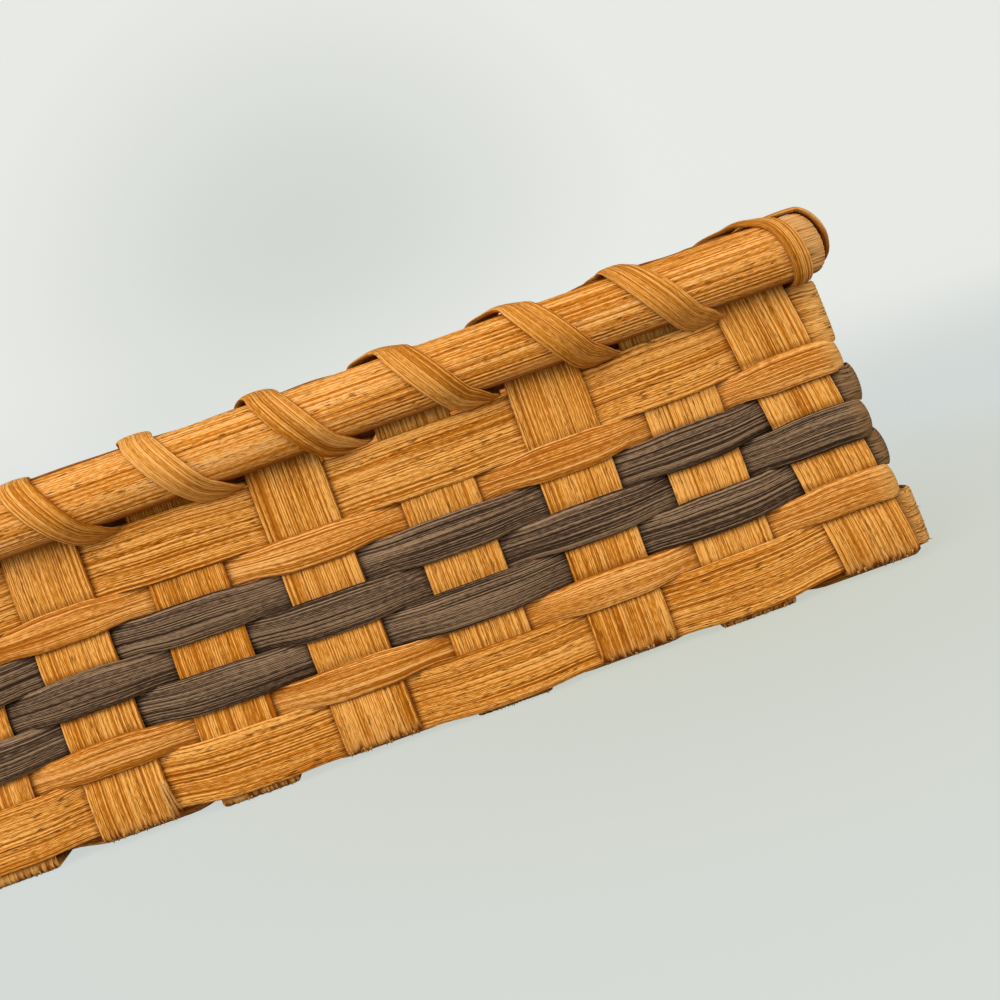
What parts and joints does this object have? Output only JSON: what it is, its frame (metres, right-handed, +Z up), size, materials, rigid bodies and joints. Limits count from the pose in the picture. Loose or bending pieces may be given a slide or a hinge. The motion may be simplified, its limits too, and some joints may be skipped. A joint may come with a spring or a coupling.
{
  "type": "square splint basket",
  "caption": "Shallow square basket of flat honey-stained splints in plain weave, with a band of dark grey rows and a lashed half-round rim.",
  "frame": {"origin": "under the middle of the base, on the surface that the basket stands on", "axes": "+Z up, +X to the right of the front wall, front wall towards -Y"},
  "size_m": [0.237, 0.237, 0.0772],
  "materials": {
    "stake": "honey stain, satin, fine lengthwise grain",
    "wide_weaver": "amber stain, satin, ridged lengthwise grain",
    "narrow_weaver": "honey stain, satin, rounded face",
    "grey_weaver": "dark grey dye over brown, matt, fine pale streaks",
    "rim": "honey stain, satin, deep lengthwise grooves",
    "lashing": "honey stain, satin, smooth rounded face"
  },
  "bodies": {
    "root": {"stake_front_back_1": "stake", "stake_front_back_2": "stake", "stake_front_back_3": "stake", "stake_front_back_4": "stake", "stake_front_back_5": "stake", "stake_front_back_6": "stake", "stake_front_back_7": "stake", "stake_front_back_8": "stake", "stake_front_back_9": "stake", "stake_left_right_1": "stake", "stake_left_right_2": "stake", "stake_left_right_3": "stake", "stake_left_right_4": "stake", "stake_left_right_5": "stake", "stake_left_right_6": "stake", "stake_left_right_7": "stake", "stake_left_right_8": "stake", "stake_left_right_9": "stake", "weaver_bottom_wide": "wide_weaver", "weaver_top_wide": "wide_weaver", "rim_row": "wide_weaver", "weaver_lower_narrow": "narrow_weaver", "weaver_upper_narrow": "narrow_weaver", "weaver_grey_lower": "grey_weaver", "weaver_grey_middle": "grey_weaver", "weaver_grey_upper": "grey_weaver", "outer_rim": "rim", "inner_rim": "rim", "lashing_1": "lashing", "lashing_2": "lashing"}
  },
  "joints": []
}
